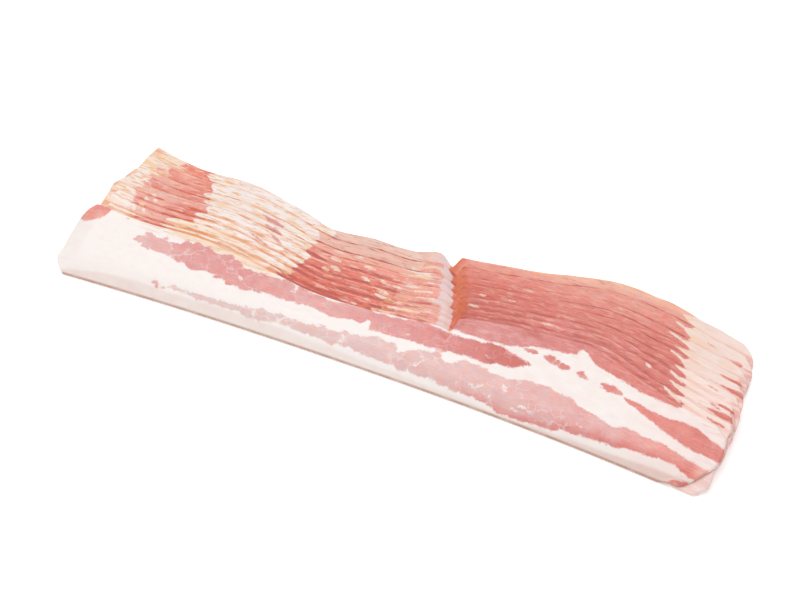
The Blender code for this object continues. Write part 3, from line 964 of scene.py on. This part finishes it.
class Nodes:
    """A short way to write a material's nodes."""

    def __init__(self, material):
        material.use_nodes = True
        self.tree = material.node_tree
        self.shader = self.tree.nodes["Principled BSDF"]

    def add(self, kind, settings=None, **inputs):
        node = self.tree.nodes.new(kind)
        for key, value in (settings or {}).items():
            setattr(node, key, value)
        for key, value in inputs.items():
            number = key[0] == "i" and key[1:].isdigit()
            self.feed(node.inputs[int(key[1:]) if number else key], value)
        return node

    def feed(self, socket, value):
        if isinstance(value, bpy.types.NodeSocket):
            self.tree.links.new(value, socket)
        else:
            socket.default_value = value

    def math(self, operation, a, b=0.0, c=0.0):
        node = self.add("ShaderNodeMath", {"operation": operation}, i0=a, i1=b, i2=c)
        return node.outputs[0]

    def attribute(self, name):
        node = self.add("ShaderNodeAttribute", {"attribute_name": name})
        return node.outputs["Vector" if name == "grain" else "Fac"]

    def stretch(self, vector, scale):
        node = self.add("ShaderNodeVectorMath", {"operation": "MULTIPLY"}, i0=vector, i1=scale)
        return node.outputs[0]

    def noise(self, vector, detail=2.0, rough=0.5):
        node = self.add("ShaderNodeTexNoise", None, Vector=vector, Scale=1.0, Detail=detail,
                        Roughness=rough)
        return node.outputs[0]

    def ramp(self, factor, stops):
        node = self.add("ShaderNodeValToRGB", None, Fac=factor)
        elements = node.color_ramp.elements
        while len(elements) < len(stops):
            elements.new(0.5)
        for element, (place, colour) in zip(elements, stops):
            element.position = place
            element.color = (*colour, 1.0)
        return node.outputs[0]

    def span(self, value, low, high, to_low=0.0, to_high=1.0):
        node = self.add("ShaderNodeMapRange", {"interpolation_type": "SMOOTHSTEP"}, i0=value, i1=low,
                        i2=high, i3=to_low, i4=to_high)
        return node.outputs[0]

    def blend(self, factor, a, b, mode="MIX"):
        settings = {"data_type": "RGBA", "blend_type": mode}
        return self.add("ShaderNodeMix", settings, i0=factor, i6=a, i7=b).outputs[2]


def stretched_noise(n, scale, detail=2.0, rough=0.5):
    """Noise along the slice's grain; scale is in bumps to the millimetre, along and across."""
    return n.noise(n.stretch(n.attribute("grain"), (*scale, 1.0)), detail, rough)


def swing(n, value, amount):
    """A noise value from 0 to 1, made to swing evenly about 0."""
    return n.math("MULTIPLY_ADD", value, amount, -amount / 2)


def cell_edges(n):
    """Distance to the edges of warped cells: the net of fine seams in the lean."""
    grain = n.attribute("grain")
    warp = n.add("ShaderNodeTexNoise", None, Vector=n.stretch(grain, (0.45, 0.55, 1.0)),
                 Scale=1.0, Detail=3.0).outputs[1]
    spot = n.add("ShaderNodeVectorMath", {"operation": "MULTIPLY_ADD"}, i0=warp,
                 i1=(0.9, 1.0, 0.0), i2=n.stretch(grain, (0.16, 0.27, 1.0))).outputs[0]
    settings = {"feature": "DISTANCE_TO_EDGE"}
    return n.add("ShaderNodeTexVoronoi", settings, Vector=spot, Scale=1.0).outputs[0]


def lean_mask(n, lean, seam, lobes, fray):
    """1 in the lean and 0 in the fat, with frayed edges and fine veins."""
    cells = cell_edges(n)
    edge = n.math("MULTIPLY_ADD", n.math("MULTIPLY_ADD", cells, 3.0, -0.65), seam, lean)
    edge = n.math("ADD", edge, swing(n, lobes, 1.2))
    edge = n.math("ADD", edge, swing(n, fray, 1.0))
    seen = n.span(stretched_noise(n, (0.10, 0.14), 1.0), 0.40, 0.62)
    strength = n.math("MULTIPLY", seen, n.math("MULTIPLY", seam, 0.36))
    vein = n.math("MULTIPLY", n.span(cells, 0.07, 0.0), strength)
    return n.math("MULTIPLY", n.span(edge, -0.35, 0.4), n.math("SUBTRACT", 1.0, vein))


def lean_paint(n, tone, warm, lobes, fray, fibres, mottle):
    """The colour of the lean, with fibres along it and patches of a cooler or warmer hue."""
    red = n.math("ADD", tone, swing(n, mottle, 0.40))
    red = n.math("ADD", red, swing(n, fibres, 0.36))
    red = n.math("ADD", red, swing(n, fray, 0.24))
    hue = n.math("ADD", warm, swing(n, lobes, 0.9))
    return n.blend(1.0, n.ramp(red, LEAN_RAMP), n.blend(hue, COOL, WARM), "MULTIPLY")


def fat_paint(n, fat, mottle, right):
    """The colour of the fat, pinker at the right end."""
    paint = n.ramp(n.math("ADD", fat, swing(n, mottle, 0.12)), FAT_RAMP)
    return n.blend(right, paint, n.blend(1.0, paint, RIGHT_TINT, "MULTIPLY"))


def add_smoke(n, colour, smoke, mask, fray, mottle):
    """The smoked rim's brown-orange, uneven along the edge."""
    smoked = n.math("MULTIPLY", smoke, n.span(fray, 0.25, 0.6, 0.5, 1.0))
    paint = n.ramp(n.math("MULTIPLY", n.math("ADD", mask, mottle), 0.5), SMOKE_RAMP)
    return n.blend(smoked, colour, paint)


def add_dashes(n, colour, fleck_and_highlight, mask, right):
    """Short pale or yellow dashes along the grain."""
    dashes = n.span(stretched_noise(n, (0.16, 1.05), 1.5), 0.57, 0.62)
    on_fat = n.blend(right, DASH_ON_FAT, DASH_ON_RIGHT_FAT)
    return n.blend(n.math("MULTIPLY", dashes, fleck_and_highlight), colour, n.blend(mask, on_fat, DASH_AND_HIGHLIGHT_ON_LEAN))


def add_painted_highlight(n, colour, fleck_and_highlight, mask, mottle, edge_place):
    """A painted highlight: a broken pale line a millimetre inside the back edge."""
    painted_highlight = n.span(n.math("ABSOLUTE", n.math("SUBTRACT", edge_place, 1.0)), 0.3, 0.0)
    painted_highlight = n.math("MULTIPLY", painted_highlight, n.math("MULTIPLY", fleck_and_highlight, n.span(mottle, 0.4, 0.6)))
    return n.blend(painted_highlight, colour, n.blend(mask, PAINTED_HIGHLIGHT_ON_FAT, DASH_AND_HIGHLIGHT_ON_LEAN))


def drawn_lines(n, line, crease, sway, edge_place):
    """Strength of the dark lines: along the back edge, a painted shadow line by the next slice, and
    thin threads.
    """
    rim = n.span(edge_place, 0.5, 0.1, 0.0, 0.85)
    # Painted shadow: a thin dark line where the next slice's edge covers this one.
    cut = n.span(n.math("ADD", crease, sway), 1.95, 1.5)
    threads = stretched_noise(n, (0.07, 1.3), 1.0)
    thread = n.span(n.math("ABSOLUTE", n.math("SUBTRACT", threads, 0.52)), 0.03, 0.0, 0.0, 0.65)
    broken = n.span(stretched_noise(n, (0.12, 0.5)), 0.35, 0.6, 0.25, 1.0)
    drawn = n.math("MULTIPLY", n.math("MAXIMUM", n.math("MAXIMUM", rim, cut), thread), broken)
    return n.math("MULTIPLY", n.math("MULTIPLY", drawn, line), 0.85)


def add_lines(n, colour, drawn, mask, right, along_x):
    """The dark lines, partly painted shadow, in a colour that suits what lies under them."""
    on_fat = n.blend(right, LINE_ON_FAT, LINE_ON_RIGHT_FAT)
    on_lean = n.blend(n.span(along_x, -75.0, -90.0), LINE_ON_LEAN, LINE_ON_LEFT_LEAN)
    return n.blend(drawn, colour, n.blend(mask, on_fat, on_lean))


def set_surface(n, mask, fibres, fray, drawn):
    """A moist, slightly translucent surface with a fine relief."""
    shader = n.shader.inputs
    wet = n.math("MULTIPLY_ADD", stretched_noise(n, (0.5, 0.8), 3.0), 0.22, 0.30)
    n.feed(shader["Roughness"], n.math("MULTIPLY_ADD", mask, -0.06, wet))
    height = n.math("MULTIPLY_ADD", fibres, 0.5, n.math("MULTIPLY", fray, 0.35))
    height = n.math("MULTIPLY_ADD", mask, -0.35, height)
    height = n.math("MULTIPLY_ADD", drawn, -0.9, height)
    bump = n.add("ShaderNodeBump", None, Strength=0.5, Distance=0.00025, Height=height)
    n.feed(shader["Normal"], bump.outputs[0])
    shader["Subsurface Weight"].default_value = 0.18
    shader["Subsurface Radius"].default_value = (1.0, 0.45, 0.35)
    shader["Subsurface Scale"].default_value = 0.0012
    shader["IOR"].default_value = 1.42


def bacon_material(name):
    """Raw bacon, painted from the looks that slice_looks() writes on each point."""
    material = bpy.data.materials.new(name)
    n = Nodes(material)
    look = {label: n.attribute(label) for label in FIELDS}
    lobes = stretched_noise(n, (0.28, 0.42), 2.0, 0.55)
    fray = stretched_noise(n, (0.9, 1.6), 3.0, 0.6)
    fibres = stretched_noise(n, (0.22, 2.4), 4.0, 0.6)
    mottle = stretched_noise(n, (0.16, 0.30), 3.0, 0.55)
    along_x = n.add("ShaderNodeSeparateXYZ", None, i0=n.attribute("grain")).outputs[0]
    right = n.span(along_x, 95.0, 118.0)
    sway = swing(n, stretched_noise(n, (0.35, 0.2)), 0.8)
    edge_place = n.math("ADD", look["back"], sway)
    mask = lean_mask(n, look["lean"], look["seam"], lobes, fray)
    lean = lean_paint(n, look["tone"], look["warm"], lobes, fray, fibres, mottle)
    colour = n.blend(mask, fat_paint(n, look["fat"], mottle, right), lean)
    colour = add_smoke(n, colour, look["smoke"], mask, fray, mottle)
    colour = add_dashes(n, colour, look["fleck_and_highlight"], mask, right)
    colour = add_painted_highlight(n, colour, look["fleck_and_highlight"], mask, mottle, edge_place)
    drawn = drawn_lines(n, look["line"], look["crease"], sway, edge_place)
    colour = add_lines(n, colour, drawn, mask, right, along_x)
    # Painted contact shade along the front bottom rim, browned like the smoked rind.
    shade_and_smoke = n.math("MULTIPLY", look["under"], n.span(mottle, 0.3, 0.6, 0.6, 1.0))
    n.feed(n.shader.inputs["Base Color"], n.blend(shade_and_smoke, colour, SHADE_AND_SMOKE_BROWN))
    set_surface(n, mask, fibres, fray, drawn)
    return material


for index in range(SLICES):
    mesh = slice_mesh(index)
    piece = bpy.data.objects.new(f"bacon_slice_{index:02d}", mesh)
    bpy.context.scene.collection.objects.link(piece)
    mesh.materials.append(bacon_material(f"bacon_{index:02d}"))
    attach(piece, "root")
    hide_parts(f"slice_{index:02d}")


FLOOR_REACH = 3.0
FLOOR_GLOW = 0.30
FLOOR_WHITES = (0.95, 0.96)
WORLD_LIGHT = 0.45
SOFTBOX_PLACE = (-0.15, -0.10, 1.40)
SOFTBOX_SIZE = 1.2
SOFTBOX_POWER = 12.9
WHITE = (1.0, 1.0, 1.0, 1.0)


def make_floor():
    """A plain pale floor under the stack."""
    mesh = bpy.data.meshes.new("floor")
    turns = ((-1, -1), (1, -1), (1, 1), (-1, 1))
    corners = [(FLOOR_REACH * x, FLOOR_REACH * y, 0.0) for x, y in turns]
    mesh.from_pydata(corners, [], [(0, 1, 2, 3)])
    floor = bpy.data.objects.new("floor", mesh)
    bpy.context.scene.collection.objects.link(floor)
    material = bpy.data.materials.new("floor_white")
    n = Nodes(material)
    place = n.add("ShaderNodeTexCoord").outputs["Object"]
    whites = [(stop, (white,) * 3) for stop, white in enumerate(FLOOR_WHITES)]
    n.feed(n.shader.inputs["Base Color"], n.ramp(n.noise(place), whites))
    n.shader.inputs["Roughness"].default_value = 0.9
    n.shader.inputs["Specular IOR Level"].default_value = 0.1
    n.shader.inputs["Emission Color"].default_value = WHITE
    n.shader.inputs["Emission Strength"].default_value = FLOOR_GLOW
    mesh.materials.append(material)


def make_light():
    """One large soft light, above and a little to the left, turned to the stack."""
    light = bpy.data.lights.new("softbox", "AREA")
    light.shape = "DISK"
    light.size = SOFTBOX_SIZE
    light.energy = SOFTBOX_POWER
    lamp = bpy.data.objects.new("softbox", light)
    lamp.location = SOFTBOX_PLACE
    lamp.rotation_euler = (-Vector(SOFTBOX_PLACE)).to_track_quat("-Z", "Y").to_euler()
    bpy.context.scene.collection.objects.link(lamp)


def make_world():
    """Even white light from all round."""
    world = bpy.data.worlds.new("studio")
    bpy.context.scene.world = world
    world.use_nodes = True
    background = world.node_tree.nodes["Background"]
    background.inputs["Color"].default_value = WHITE
    background.inputs["Strength"].default_value = WORLD_LIGHT


def make_camera():
    """A camera at the photo's viewing angle."""
    place, _, _, back = camera_frame()
    camera = bpy.data.objects.new("camera", bpy.data.cameras.new("camera"))
    camera.data.lens = LENS
    camera.data.sensor_width = SENSOR_WIDTH
    camera.location = place
    camera.rotation_euler = Vector(-back).to_track_quat("-Z", "Y").to_euler()
    camera.data.clip_start = 0.01
    bpy.context.scene.collection.objects.link(camera)
    bpy.context.scene.camera = camera


make_floor()
make_world()
make_light()
make_camera()
bpy.context.scene.view_settings.view_transform = "Standard"
